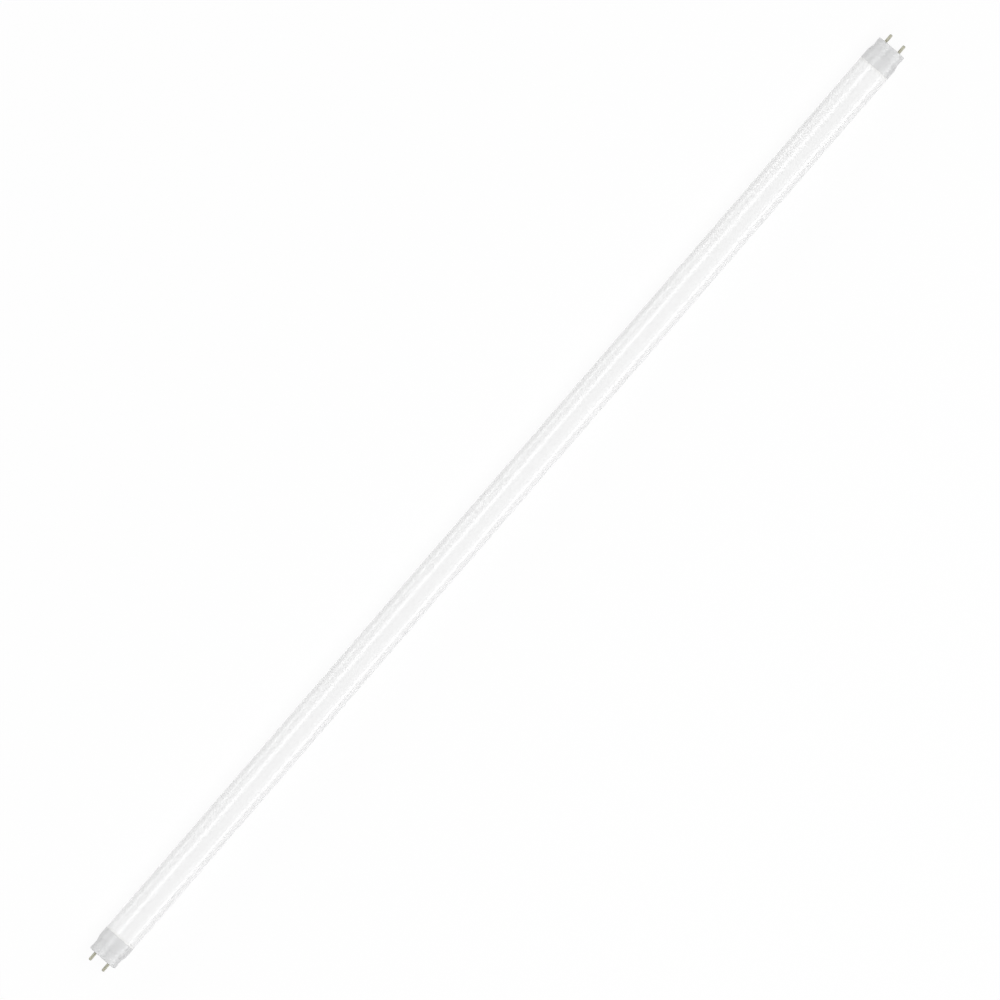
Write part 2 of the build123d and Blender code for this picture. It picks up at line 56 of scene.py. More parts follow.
print("frame loaded:", len(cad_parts), "nodes")

mm = 0.001


# Node tools


class Wire:  # a socket of a node tree; arithmetic on it adds Math nodes
    def __init__(self, tree, socket):
        self.tree = tree
        self.socket = socket

    def maths(self, operation, first, second=0.0):
        settings = {"operation": operation}
        return self.tree.node("ShaderNodeMath", settings, {0: first, 1: second})

    def beside(self, name):
        return Wire(self.tree, self.socket.node.outputs[name])

    def either(self, other):
        return self.maths("MAXIMUM", self, other)

    def __add__(self, other):
        return self.maths("ADD", self, other)

    def __radd__(self, other):
        return self.maths("ADD", other, self)

    def __sub__(self, other):
        return self.maths("SUBTRACT", self, other)

    def __rsub__(self, other):
        return self.maths("SUBTRACT", other, self)

    def __mul__(self, other):
        return self.maths("MULTIPLY", self, other)

    def __rmul__(self, other):
        return self.maths("MULTIPLY", other, self)

    def __truediv__(self, other):
        return self.maths("DIVIDE", self, other)

    def __rtruediv__(self, other):
        return self.maths("DIVIDE", other, self)

    def __mod__(self, other):
        return self.maths("FLOORED_MODULO", self, other)

    def __neg__(self):
        return self.maths("MULTIPLY", self, -1.0)

    def __abs__(self):
        return self.maths("ABSOLUTE", self)

    def __lt__(self, other):
        return self.maths("LESS_THAN", self, other)

    def __gt__(self, other):
        return self.maths("GREATER_THAN", self, other)


class Tree:  # adds nodes to a material's or a modifier's tree
    def __init__(self, data):
        self.nodes = data.nodes
        self.links = data.links

    def node(self, kind, settings=None, inputs=None, output=0):
        added = self.nodes.new(kind)
        for key, value in (settings or {}).items():
            if key == "stops":
                self.setStops(added.color_ramp.elements, value)
            elif key == "items":
                for _ in range(value - len(added.index_switch_items)):
                    added.index_switch_items.new()
            else:
                setattr(added, key, value)
        for key, value in (inputs or {}).items():
            wires = value if isinstance(value, list) else [value]
            if isinstance(wires[0], Wire):
                for wire in wires:
                    self.links.new(wire.socket, added.inputs[key])
            else:
                added.inputs[key].default_value = value
        return Wire(self, added.outputs[output]) if len(added.outputs) else None

    def setStops(self, elements, stops):
        while len(elements) < len(stops):
            elements.new(1.0)
        for element, (place, level) in zip(elements, stops):
            element.position = place
            element.color = (level, level, level, 1)

    # For materials
    def place(self, stretch=(1, 1, 1)):
        here = self.node("ShaderNodeTexCoord", output="Object")
        return self.node("ShaderNodeMapping", None, {"Vector": here, "Scale": stretch})

    def axes(self):
        here = self.node("ShaderNodeTexCoord", output="Object")
        parts = self.node("ShaderNodeSeparateXYZ", None, {"Vector": here})
        return {"x": parts, "y": parts.beside("Y"), "z": parts.beside("Z")}

    def noise(self, vector, size, detail=2.0, rough=0.5):
        inputs = {"Vector": vector, "Scale": 1 / size, "Detail": detail, "Roughness": rough}
        return self.node("ShaderNodeTexNoise", None, inputs)

    def ramp(self, value, stops):
        return self.node("ShaderNodeValToRGB", {"stops": stops}, {"Fac": value})

    def blend(self, factor, first, second):
        inputs = {0: factor, 6: asColour(first), 7: asColour(second)}
        return self.node("ShaderNodeMix", {"data_type": "RGBA"}, inputs, 2)

    def between(self, factor, first, second):
        return self.node("ShaderNodeMix", None, {0: factor, 2: first, 3: second})

    def bump(self, height, depth, strength=1.0):
        inputs = {"Height": height, "Distance": depth, "Strength": strength}
        return self.node("ShaderNodeBump", None, inputs)

    # For geometry
    def index(self):
        return self.node("GeometryNodeInputIndex")

    def point(self, x, y, z):
        return self.node("ShaderNodeCombineXYZ", None, {0: x, 1: y, 2: z})

    def pick(self, kind, values):
        inputs = {"Index": self.index()}
        inputs.update({str(place): value for place, value in enumerate(values)})
        settings = {"data_type": kind, "items": len(values)}
        return self.node("GeometryNodeIndexSwitch", settings, inputs)

    def sample(self, kind, geometry, value, index):
        settings = {"data_type": kind, "domain": "POINT"}
        inputs = {"Geometry": geometry, "Value": value, "Index": index}
        return self.node("GeometryNodeSampleIndex", settings, inputs)

    def moved(self, shape, place=(0, 0, 0), turn=(0, 0, 0)):
        inputs = {"Geometry": shape, "Translation": place, "Rotation": turn}
        return self.node("GeometryNodeTransform", None, inputs)

    def joined(self, shapes):
        return self.node("GeometryNodeJoinGeometry", None, {"Geometry": shapes})

    def copies(self, shape, places, turns=None):
        points = self.node("GeometryNodeMeshLine", None, {"Count": len(places)})
        inputs = {"Geometry": points, "Position": self.pick("VECTOR", places)}
        points = self.node("GeometryNodeSetPosition", None, inputs)
        inputs = {"Points": points, "Instance": shape}
        if turns:
            inputs["Rotation"] = self.pick("VECTOR", turns)
        return self.node("GeometryNodeInstanceOnPoints", None, inputs)

    def row(self, shape, count, start, step):
        inputs = {"Count": count, "Start Location": start, "Offset": step}
        points = self.node("GeometryNodeMeshLine", None, inputs)
        inputs = {"Points": points, "Instance": shape}
        return self.node("GeometryNodeInstanceOnPoints", None, inputs)


def asColour(value):
    if isinstance(value, Wire):
        return value
    return (*value, 1.0)


# Materials


def newMaterial(name, paint, look):
    material = bpy.data.materials.new(name)
    material.use_nodes = True
    material.node_tree.nodes.clear()
    tree = Tree(material.node_tree)
    shader = tree.node("ShaderNodeBsdfPrincipled", None, paint(tree, look))
    tree.node("ShaderNodeOutputMaterial", None, {"Surface": shader})
    return material


def opalGlass(tree, look):  # white coat seen through smooth drawn glass
    drawn = tree.place(look["stretch"])
    coat = tree.noise(drawn, look["cloudSize"])
    haze = tree.noise(drawn, look["hazeSize"], 4.0)
    waves = tree.noise(drawn, look["waveSize"], 1.0)
    return {
        "Base Color": tree.blend(coat, look["thin"], look["full"]),
        "Roughness": look["smooth"] + haze * look["hazeAmount"],
        "Normal": tree.bump(waves, look["waveDepth"]),
        "IOR": look["bending"],
    }


def capPlastic(tree, look):  # eroded mould finish, with faint flow of the melt
    here = tree.place()
    grain = tree.noise(here, look["grainSize"], 3.0, 0.6)
    flow = tree.noise(tree.place(look["flowStretch"]), look["flowSize"], 3.0)
    shade = tree.blend(flow, look["dark"], look["light"])
    pits = tree.ramp(grain, look["pitStops"])
    return {
        "Base Color": tree.blend(pits * look["pitTint"], shade, look["light"]),
        "Roughness": look["smooth"] + pits * look["roughen"],
        "Normal": tree.bump(grain, look["grainDepth"]),
        "IOR": look["bending"],
        "Specular IOR Level": look["gloss"],
    }


def turnedBrass(tree, look):  # tool marks round the pin, dull spots of handling
    rings = tree.noise(tree.place(look["ringStretch"]), look["ringSize"], 2.0)
    tarnish = tree.noise(tree.place(), look["tarnishSize"], 4.0)
    spots = tree.ramp(tarnish, look["spotStops"])
    return {
        "Base Color": tree.blend(spots, look["bright"], look["dull"]),
        "Metallic": 1.0,
        "Roughness": look["smooth"] + spots * look["roughen"],
        "Normal": tree.bump(rings, look["ringDepth"]),
    }


grainShare = 0.2  # size of the grain as a share of the clouds' size


def mottled(tree, look):  # two close shades, uneven gloss and a fine surface
    here = tree.place(look.get("stretch", (1, 1, 1)))
    cloud = tree.noise(here, look["size"], 4.0)
    grain = tree.noise(here, look["size"] * grainShare, 2.0)
    made = {
        "Base Color": tree.blend(cloud, look["first"], look["second"]),
        "Metallic": look.get("metal", 0.0),
        "Roughness": look["smooth"] + grain * look["roughen"],
        "Normal": tree.bump(grain, look["depth"]),
        "Alpha": look.get("alpha", 1.0),
    }
    for covers, colour in look.get("bands", []):
        made["Base Color"] = tree.blend(covers(tree), made["Base Color"], colour)
    if "tin" in look:
        addTin(tree, made, look["tin"])
    return made


def addTin(tree, made, places):
    # A part's leads and solder are one solid with it, so metal starts where its body ends.
    tin = places[0](tree)
    for covers in places[1:]:
        tin = tin.either(covers(tree))
    dross = tree.noise(tree.place(), tinLook["size"], 3.0)
    bright = tree.blend(dross, tinLook["first"], tinLook["second"])
    made["Base Color"] = tree.blend(tin, made["Base Color"], bright)
    made["Metallic"] = tree.between(tin, made["Metallic"], 1.0)
    shine = tinLook["smooth"] + dross * tinLook["roughen"]
    made["Roughness"] = tree.between(tin, made["Roughness"], shine)


def printedBoard(tree, look):  # blocks of copper show through the mask as paler shapes
    here = tree.place()
    grid = tree.node("ShaderNodeVectorMath", {"operation": "SNAP"}, {0: here, 1: look["block"]})
    copper = tree.node("ShaderNodeTexWhiteNoise", None, {"Vector": grid}) > look["bareShare"]
    cloud = tree.noise(here, look["size"], 3.0)
    weave = tree.noise(tree.place(look["weaveStretch"]), look["weaveSize"], 1.0)
    mask = tree.blend(cloud, look["first"], look["second"])
    return {
        "Base Color": tree.blend(copper, mask, look["overCopper"]),
        "Roughness": look["smooth"] + weave * look["roughen"],
        "Normal": tree.bump(copper + weave * look["weaveShare"], look["depth"]),
    }


glassLook = {
    "stretch": (0.15, 1, 1),
    "cloudSize": 30 * mm,
    "hazeSize": 8 * mm,
    "waveSize": 25 * mm,
    "waveDepth": 0.02 * mm,
    "thin": (0.89, 0.89, 0.89),
    "full": (0.915, 0.915, 0.915),
    "smooth": 0.2,
    "hazeAmount": 0.08,
    "bending": 1.5,  # refractive index
}
capLook = {
    "grainSize": 0.25 * mm,
    "grainDepth": 0.008 * mm,
    "flowStretch": (0.5, 1, 1),
    "flowSize": 6 * mm,
    "dark": (0.632, 0.635, 0.638),
    "light": (0.667, 0.67, 0.673),
    "pitStops": [(0.35, 0.0), (0.62, 1.0)],
    "pitTint": 0.4,
    "gloss": 0.65,
    "smooth": 0.34,
    "roughen": 0.08,
    "bending": 1.59,
}
brassLook = {
    "ringStretch": (1, 0.02, 0.02),
    "ringSize": 0.2 * mm,
    "ringDepth": 0.002 * mm,
    "tarnishSize": 2.5 * mm,
    "spotStops": [(0.42, 0.0), (0.68, 1.0)],
    "bright": (0.3, 0.295, 0.238),
    "dull": (0.262, 0.256, 0.204),
    "smooth": 0.36,
    "roughen": 0.08,
}
tinLook = {"size": 0.8 * mm, "first": (0.62, 0.62, 0.60), "second": (0.78, 0.78, 0.76),
           "metal": 1.0, "smooth": 0.25, "roughen": 0.25, "depth": 0.01 * mm}
plainLooks = {
    "cement": {"size": 1.5 * mm, "first": (0.83, 0.83, 0.82), "second": (0.89, 0.89, 0.88),
               "smooth": 0.45, "roughen": 0.2, "depth": 0.03 * mm},
    "tinned_wire": tinLook,
    "silicone": {"size": 3 * mm, "first": (0.84, 0.84, 0.84), "second": (0.9, 0.9, 0.9),
                 "smooth": 0.4, "roughen": 0.2, "depth": 0.05 * mm},
    "led_white": {"size": 0.6 * mm, "first": (0.88, 0.88, 0.86), "second": (0.92, 0.92, 0.9),
                  "smooth": 0.4, "roughen": 0.1, "depth": 0.005 * mm},
    "led_phosphor": {"size": 0.3 * mm, "first": (0.86, 0.66, 0.12), "second": (0.93, 0.78, 0.22),
                     "smooth": 0.12, "roughen": 0.1, "depth": 0.01 * mm},
    "sleeve_film": {"size": 6 * mm, "first": (0.78, 0.78, 0.75), "second": (0.84, 0.84, 0.82),
                    "smooth": 0.15, "roughen": 0.1, "depth": 0.03 * mm, "alpha": 0.4},
    "resistor_coat": {"size": 0.9 * mm, "first": (0.24, 0.36, 0.30), "second": (0.32, 0.45, 0.38),
                      "smooth": 0.5, "roughen": 0.2, "depth": 0.03 * mm},
    "disc_coat": {"size": 0.9 * mm, "first": (0.07, 0.16, 0.42), "second": (0.10, 0.22, 0.55),
                  "smooth": 0.25, "roughen": 0.2, "depth": 0.05 * mm},
    "film_box": {"size": 1.2 * mm, "first": (0.64, 0.50, 0.10), "second": (0.72, 0.58, 0.14),
                 "smooth": 0.4, "roughen": 0.15, "depth": 0.02 * mm},
    "ferrite": {"size": 0.5 * mm, "first": (0.07, 0.07, 0.08), "second": (0.13, 0.13, 0.14),
                "smooth": 0.45, "roughen": 0.25, "depth": 0.03 * mm},
    "enamelled_copper": {"size": 0.35 * mm, "stretch": (0.15, 0.15, 1), "first": (0.45, 0.17, 0.06),
                         "second": (0.68, 0.32, 0.14), "metal": 0.8, "smooth": 0.2,
                         "roughen": 0.2, "depth": 0.03 * mm},
    "can_sleeve": {"size": 3 * mm, "first": (0.035, 0.035, 0.05), "second": (0.06, 0.06, 0.08),
                   "smooth": 0.2, "roughen": 0.12, "depth": 0.02 * mm},
    "bobbin_plastic": {"size": 1 * mm, "first": (0.06, 0.06, 0.06), "second": (0.09, 0.09, 0.09),
                       "smooth": 0.4, "roughen": 0.15, "depth": 0.02 * mm},
    "chip_plastic": {"size": 0.5 * mm, "first": (0.035, 0.035, 0.035),
                     "second": (0.055, 0.055, 0.055), "smooth": 0.5, "roughen": 0.2,
                     "depth": 0.02 * mm},
    "header_plastic": {"size": 0.8 * mm, "first": (0.05, 0.05, 0.05),
                       "second": (0.075, 0.075, 0.075), "smooth": 0.4, "roughen": 0.15,
                       "depth": 0.02 * mm},
}
boardLooks = {
    "circuit_board": {"size": 2.5 * mm, "first": (0.035, 0.13, 0.055), "second": (0.05, 0.17, 0.07),
                      "overCopper": (0.09, 0.30, 0.13), "block": (3.1 * mm, 2.3 * mm, 50 * mm),
                      "bareShare": 0.45, "weaveStretch": (1, 8, 1), "weaveSize": 0.6 * mm,
                      "weaveShare": 0.3, "smooth": 0.25, "roughen": 0.15, "depth": 0.03 * mm},
    "led_board_white": {"size": 4 * mm, "first": (0.80, 0.80, 0.79), "second": (0.84, 0.84, 0.83),
                        "overCopper": (0.87, 0.87, 0.86), "block": (11.7 * mm, 3.3 * mm, 50 * mm),
                        "bareShare": 0.3, "weaveStretch": (1, 8, 1), "weaveSize": 0.6 * mm,
                        "weaveShare": 0.3, "smooth": 0.35, "roughen": 0.15, "depth": 0.03 * mm},
}

finishes = {
    "opal_glass": newMaterial("opalGlass", opalGlass, glassLook),
    "cap_plastic": newMaterial("capPlastic", capPlastic, capLook),
    "pin_brass": newMaterial("pinBrass", turnedBrass, brassLook),
}
for slotName, look in plainLooks.items():
    finishes[slotName] = newMaterial(slotName, mottled, look)
for slotName, look in boardLooks.items():
    finishes[slotName] = newMaterial(slotName, printedBoard, look)
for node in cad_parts.values():
    for place, old in enumerate(node.data.materials):
        node.data.materials[place] = finishes[old.name.split(".")[0]]

# Parts on the boards: a body with its leads, and marks on some of the bodies


def middleOf(name, axis):
    low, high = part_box(name)
    return (low[axis] + high[axis]) / 2


def beyond(axis, middle, half):
    return lambda tree: abs(tree.axes()[axis] - middle) > half


def within(axis, middle, half):
    return lambda tree: abs(tree.axes()[axis] - middle) < half


def above(level):
    return lambda tree: tree.axes()["z"] > level


def below(level):
    return lambda tree: tree.axes()["z"] < level


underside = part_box("driver_board")[0][2]
solder = above(underside + 0.02 * mm)  # what goes up through the board
resistor = middleOf("input_fuse_resistor", 0)
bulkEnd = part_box("bulk_capacitor")[1][0]
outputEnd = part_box("output_capacitor")[1][0]
diode = middleOf("freewheel_diode", 0)
brown = (0.25, 0.09, 0.03)
black = (0.02, 0.02, 0.02)
gold = (0.55, 0.40, 0.12)
stripe = (0.62, 0.62, 0.60)
partLooks = {
    "input_fuse_resistor": {
        "tin": [solder, beyond("x", resistor, 4.0 * mm)],
        "bands": [
            (within("x", resistor - 2.6 * mm, 0.35 * mm), brown),
            (within("x", resistor - 1.2 * mm, 0.35 * mm), black),
            (within("x", resistor + 0.2 * mm, 0.35 * mm), black),
            (within("x", resistor + 2.4 * mm, 0.35 * mm), gold),
        ],
    },
    "varistor": {"tin": [above(underside - 1.0 * mm)]},
    "film_capacitor": {"tin": [solder]},
    "filter_choke_winding": {"tin": [solder]},
    "bulk_capacitor": {
        "tin": [solder, beyond("x", bulkEnd, 16.0 * mm)],
        "bands": [(below(-4.4 * mm), stripe)],
    },
    "output_capacitor": {
        "tin": [solder, beyond("x", outputEnd, 12.0 * mm)],
        "bands": [(below(-4.6 * mm), stripe)],
    },
    "power_choke_bobbin": {"tin": [solder]},
    "bridge_rectifier": {"tin": [beyond("y", 0.0, 1.96 * mm)]},
    "control_chip": {"tin": [beyond("y", 0.0, 1.96 * mm)]},
    "freewheel_diode": {"tin": [beyond("x", diode, 2.16 * mm)]},
    "terminal_fuse": {"tin": [beyond("y", 0.0, 3.06 * mm)]},
}
for name, marks in partLooks.items():
    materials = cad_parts[name].data.materials
    slotName = materials[0].name.split(".")[0]
    materials[0] = newMaterial(name, mottled, {**plainLooks[slotName], **marks})
print("materials made:", len(finishes) + len(partLooks))


# Pieces grown by a node tree


def grow(name, build, sizes, slot):
    group = bpy.data.node_groups.new(name, "GeometryNodeTree")
    group.interface.new_socket("Geometry", in_out="OUTPUT", socket_type="NodeSocketGeometry")
    keys = {}
    for label, value in sizes.items():
        kind = "NodeSocketInt" if isinstance(value, int) else "NodeSocketFloat"
        keys[label] = group.interface.new_socket(label, in_out="INPUT", socket_type=kind).identifier
    tree = Tree(group)
    source = tree.node("NodeGroupInput")
    made = build(tree, {label: source.beside(label) for label in sizes})
    made = tree.node("GeometryNodeRealizeInstances", None, {"Geometry": made})
    inputs = {"Geometry": made, "Material": finishes[slot]}
    made = tree.node("GeometryNodeSetMaterial", None, inputs)
    tree.node("NodeGroupOutput", None, {0: made})
    piece = bpy.data.objects.new(name, bpy.data.meshes.new(name))
    bpy.context.scene.collection.objects.link(piece)
    modifier = piece.modifiers.new(name, "NODES")
    modifier.node_group = group
    for label, value in sizes.items():
        modifier[keys[label]] = value
    bpy.context.view_layer.update()
    grown = piece.evaluated_get(bpy.context.evaluated_depsgraph_get())
    mesh = bpy.data.meshes.new_from_object(grown)
    piece.modifiers.clear()
    piece.data = mesh
    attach(piece, "root")
    print(name, "has", len(mesh.polygons), "faces")
    return piece


crease = math.radians(32)  # edges that bend more than this stay sharp
weldDistance = 0.0001 * mm  # points nearer than this become one


def smoothed(tree, shape):
    bend = tree.node("GeometryNodeInputMeshEdgeAngle")
    inputs = {"Geometry": shape, "Shade Smooth": bend < crease}
    return tree.node("GeometryNodeSetShadeSmooth", {"domain": "EDGE"}, inputs)


def turnedShape(tree, corners, rounds, sides, steps, closed):
    # A line of corners, each a length and a radius, is rounded and turned about the X axis.
    spots = [tree.point(length, 0.0, radius) for length, radius in corners]
    line = tree.node("GeometryNodeMeshLine", None, {"Count": len(corners)})
    inputs = {"Geometry": line, "Position": tree.pick("VECTOR", spots)}
    line = tree.node("GeometryNodeSetPosition", None, inputs)
    curve = tree.node("GeometryNodeMeshToCurve", None, {"Mesh": line})
    curve = tree.node("GeometryNodeSetSplineCyclic", None, {"Geometry": curve, "Cyclic": closed})
    inputs = {"Curve": curve, "Count": steps, "Radius": tree.pick("FLOAT", rounds)}
    curve = tree.node("GeometryNodeFilletCurve", {"mode": "POLY"}, inputs)
    settings = {"component": "CURVE"}
    sizes = tree.node("GeometryNodeAttributeDomainSize", settings, {"Geometry": curve})
    count = sizes.beside("Point Count")
    inputs = {"Vertices X": count + int(closed), "Vertices Y": sides + 1}
    grid = tree.node("GeometryNodeMeshGrid", None, inputs)
    here = tree.index()
    column = tree.node("ShaderNodeMath", {"operation": "FLOOR"}, {0: (here + 0.5) / (sides + 1)})
    spot = tree.node("GeometryNodeInputPosition")
    spot = tree.sample("FLOAT_VECTOR", curve, spot, column % count)
    parts = tree.node("ShaderNodeSeparateXYZ", None, {"Vector": spot})
    angle = (here - column * (sides + 1)) / sides * (2 * math.pi)
    sine = tree.node("ShaderNodeMath", {"operation": "SINE"}, {0: angle})
    cosine = tree.node("ShaderNodeMath", {"operation": "COSINE"}, {0: angle})
    radius = parts.beside("Z")
    inputs = {"Geometry": grid, "Position": tree.point(parts, radius * sine, radius * cosine)}
    shell = tree.node("GeometryNodeSetPosition", None, inputs)
    inputs = {"Geometry": shell, "Distance": weldDistance}
    shell = tree.node("GeometryNodeMergeByDistance", None, inputs)
    shell = tree.node("GeometryNodeFlipFaces", None, {"Mesh": shell})  # the grid faces the axis
    return smoothed(tree, shell)


def atBothEnds(tree, shape):
    return tree.copies(shape, [tree.point(0.0, 0.0, 0.0)] * 2, [(0, 0, 0), (0, 0, math.pi)])


halfShoulder = math.radians(22.5)  # the glass's shoulder slopes at twice this
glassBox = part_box("glass_tube")
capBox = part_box("end_cap_input")
mouth, face = capBox[0][0], capBox[1][0]
glassSizes = {
    "radius": glassBox[1][2],
    "wall": 0.8 * mm,
    "neckDrop": 1.25 * mm,
    "neckCorner": mouth - 0.2 * mm,
    "rimEnd": glassBox[1][0],
    "outerShoulderRound": 1.2 * mm,
    "innerShoulderRound": 0.4 * mm,
    "outerNeckRound": 1.0 * mm,
    "innerNeckRound": 1.8 * mm,
    "rimRound": 0.25 * mm,
    "sides": 160,
    "steps": 7,
}


def glassTube(tree, size):
    wall, neck = size["wall"], size["radius"] - size["neckDrop"]
    shift = wall * math.tan(halfShoulder)
    shoulder = size["neckCorner"] - size["neckDrop"]
    outer = [(size["rimEnd"], neck), (size["neckCorner"], neck), (shoulder, size["radius"])]
    inner = [(x - shift, radius - wall) for x, radius in outer[:0:-1]]
    inner.append((size["rimEnd"], neck - wall))
    corners = outer + [(-x, radius) for x, radius in reversed(outer)]
    corners += [(-x, radius) for x, radius in reversed(inner)] + inner
    rim = size["rimRound"]
    outerRounds = [rim, size["outerNeckRound"], size["outerShoulderRound"]]
    innerRounds = [size["innerShoulderRound"], size["innerNeckRound"], rim]
    rounds = outerRounds + outerRounds[::-1] + innerRounds[::-1] + innerRounds
    return turnedShape(tree, corners, rounds, size["sides"], size["steps"], True)


glass = grow("opalGlassTube", glassTube, glassSizes, "opal_glass")
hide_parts("glass_tube")

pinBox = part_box("pin_input_left")
pinSizes = {
    "face": face,
    "tip": pinBox[1][0],
    "tail": pinBox[0][0],
    "radius": 1.175 * mm,
    "tipRadius": 0.75 * mm,
    "tipTaper": 0.6 * mm,
    "tipRound": 0.3 * mm,
    "taperRound": 0.5 * mm,
    "rootHeight": 0.15 * mm,
    "rootStep": 0.12 * mm,
    "shankRadius": 1.4 * mm,
    "flangeRadius": pinBox[1][2],
    "flangeStart": 5.2 * mm,
    "flangeEnd": 5.8 * mm,
    "wireHole": 0.45 * mm,
    "wireStop": 1.2 * mm,
    "place": (pinBox[0][1] + pinBox[1][1]) / 2,
    "sides": 64,
    "steps": 5,
}


def contactPins(tree, size):
    face, radius, shank = size["face"], size["radius"], size["shankRadius"]
    corners = [
        (size["tip"], 0.0, 0.0),
        (size["tip"], size["tipRadius"], size["tipRound"]),
        (size["tip"] - size["tipTaper"], radius, size["taperRound"]),
        (face + size["rootHeight"], radius, 0.0),
        (face, radius + size["rootStep"], 0.0),
        (face, shank, 0.0),
        (face - size["flangeStart"], shank, 0.0),
        (face - size["flangeStart"], size["flangeRadius"], 0.0),
        (face - size["flangeEnd"], size["flangeRadius"], 0.0),
        (face - size["flangeEnd"], shank, 0.0),
        (size["tail"], shank, 0.0),
        (size["tail"], size["wireHole"], 0.0),
        (face - size["wireStop"], size["wireHole"], 0.0),
        (face - size["wireStop"], 0.0, 0.0),
    ]
    line = [corner[:2] for corner in corners]
    rounds = [corner[2] for corner in corners]
    pin = turnedShape(tree, line, rounds, size["sides"], size["steps"], False)
    pair = tree.copies(pin, [tree.point(0.0, size["place"] * side, 0.0) for side in (-1, 1)])
    return atBothEnds(tree, pair)


pins = grow("contactPins", contactPins, pinSizes, "pin_brass")
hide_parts("pin_input_left", "pin_input_right", "pin_far_left", "pin_far_right")

# The cement that was pressed out of the joint, wiped to a slightly uneven fillet
beadSizes = {
    "start": mouth - 1.75 * mm,
    "end": mouth + 0.1 * mm,
    "crown": glassBox[1][2] - 0.07 * mm,
    "depth": 0.35 * mm,
    "round": 0.3 * mm,
    "lumpSize": 5 * mm,
    "lumpHeight": 0.08 * mm,
    "lumpLevel": 0.8,
    "sides": 180,
    "steps": 4,
}


def cementBeads(tree, size):
    low = size["crown"] - size["depth"]
    corners = [
        (size["end"], low),
        (size["end"], size["crown"]),
        (size["start"], size["crown"]),
        (size["start"], low),
    ]
    rounds = [0.0, size["round"], size["round"], 0.0]
    ring = turnedShape(tree, corners, rounds, size["sides"], size["steps"], True)
    inputs = {"Scale": 1 / size["lumpSize"], "Detail": 1.0}
    lumps = (size["lumpLevel"] - tree.node("ShaderNodeTexNoise", None, inputs)) * size["lumpHeight"]
    normal = tree.node("GeometryNodeInputNormal")
    push = tree.node("ShaderNodeVectorMath", {"operation": "SCALE"}, {0: normal, 3: lumps})
    ring = tree.node("GeometryNodeSetPosition", None, {"Geometry": ring, "Offset": push})
    return atBothEnds(tree, ring)


grow("cementBeads", cementBeads, beadSizes, "cement")

# Metal ends of the LED packages, each soldered down to the board
ledLow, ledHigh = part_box("led_bodies")
ledLength = 3.5 * mm
ledCount = 72
ledSizes = {
    "count": ledCount,
    "first": ledLow[0] + ledLength / 2,
    "pitch": (ledHigh[0] - ledLow[0] - ledLength) / (ledCount - 1),
    "board": ledHigh[2],
    "halfLength": ledLength / 2,
    "tabThickness": 0.12 * mm,
    "tabWidth": 1.9 * mm,
    "tabHeight": 0.45 * mm,
    "solderRadius": 0.36 * mm,
}


def ledJoints(tree, size):
    tabSize = tree.point(size["tabThickness"], size["tabWidth"], size["tabHeight"])
    tab = tree.node("GeometryNodeMeshCube", None, {"Size": tabSize})
    tab = tree.moved(tab, tree.point(size["halfLength"], 0.0, size["tabHeight"] * -0.5))
    inputs = {"Vertices": 3, "Radius": size["solderRadius"], "Depth": size["tabWidth"]}
    fillet = tree.node("GeometryNodeMeshCylinder", None, inputs)
    fillet = tree.moved(fillet, turn=(math.pi / 2, math.pi / 2, 0))
    across = size["halfLength"] + size["solderRadius"] * 0.5
    fillet = tree.moved(fillet, tree.point(across, 0.0, size["solderRadius"] * -0.5))
    end = tree.joined([tab, fillet])
    package = tree.joined([end, tree.moved(end, turn=(0, 0, math.pi))])
    start = tree.point(size["first"], 0.0, size["board"])
    return tree.row(package, size["count"], start, tree.point(size["pitch"], 0.0, 0.0))


grow("ledJoints", ledJoints, ledSizes, "tinned_wire")

# Turns of wire over the two windings
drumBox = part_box("filter_choke_core")
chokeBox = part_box("power_choke_core")
drumSizes = {
    "middle": middleOf("filter_choke_core", 0),
    "width": 6.9 * mm,
    "depth": 6.9 * mm,
    "corner": 3.44 * mm,
    "low": drumBox[0][2] + 1.3 * mm,
    "high": drumBox[1][2] - 1.3 * mm,
    "wireRadius": 0.21 * mm,
    "turns": 16,
    "steps": 10,
    "wireSides": 8,
}
chokeSizes = {
    "middle": middleOf("power_choke_core", 0),
    "width": 6.1 * mm,
    "depth": 9.1 * mm,
    "corner": 1.15 * mm,
    "low": chokeBox[0][2] + 3.1 * mm,
    "high": chokeBox[1][2] - 3.1 * mm,
    "wireRadius": 0.148 * mm,
    "turns": 16,
    "steps": 10,
    "wireSides": 8,
}


def wireTurns(tree, size):
    inputs = {"Width": size["width"], "Height": size["depth"]}
    path = tree.node("GeometryNodeCurvePrimitiveQuadrilateral", {"mode": "RECTANGLE"}, inputs)
    inputs = {"Curve": path, "Count": size["steps"], "Radius": size["corner"]}
    path = tree.node("GeometryNodeFilletCurve", {"mode": "POLY"}, inputs)
    inputs = {"Resolution": size["wireSides"], "Radius": size["wireRadius"]}
    wire = tree.node("GeometryNodeCurvePrimitiveCircle", {"mode": "RADIUS"}, inputs)
    turn = tree.node("GeometryNodeCurveToMesh", None, {"Curve": path, "Profile Curve": wire})
    step = (size["high"] - size["low"]) / size["turns"]
    start = tree.point(size["middle"], 0.0, size["low"] + step * 0.5)
    return tree.row(smoothed(tree, turn), size["turns"], start, tree.point(0.0, 0.0, step))


grow("filterChokeTurns", wireTurns, drumSizes, "enamelled_copper")
grow("powerChokeTurns", wireTurns, chokeSizes, "enamelled_copper")
print("pieces grown")


# Studio


def seenByEye(tree):
    # 1 where a surface is seen straight, in gloss or through glass, 0 where it lights others.
    path = tree.node("ShaderNodeLightPath")
    return path.either(path.beside("Is Glossy Ray")).either(path.beside("Is Transmission Ray"))


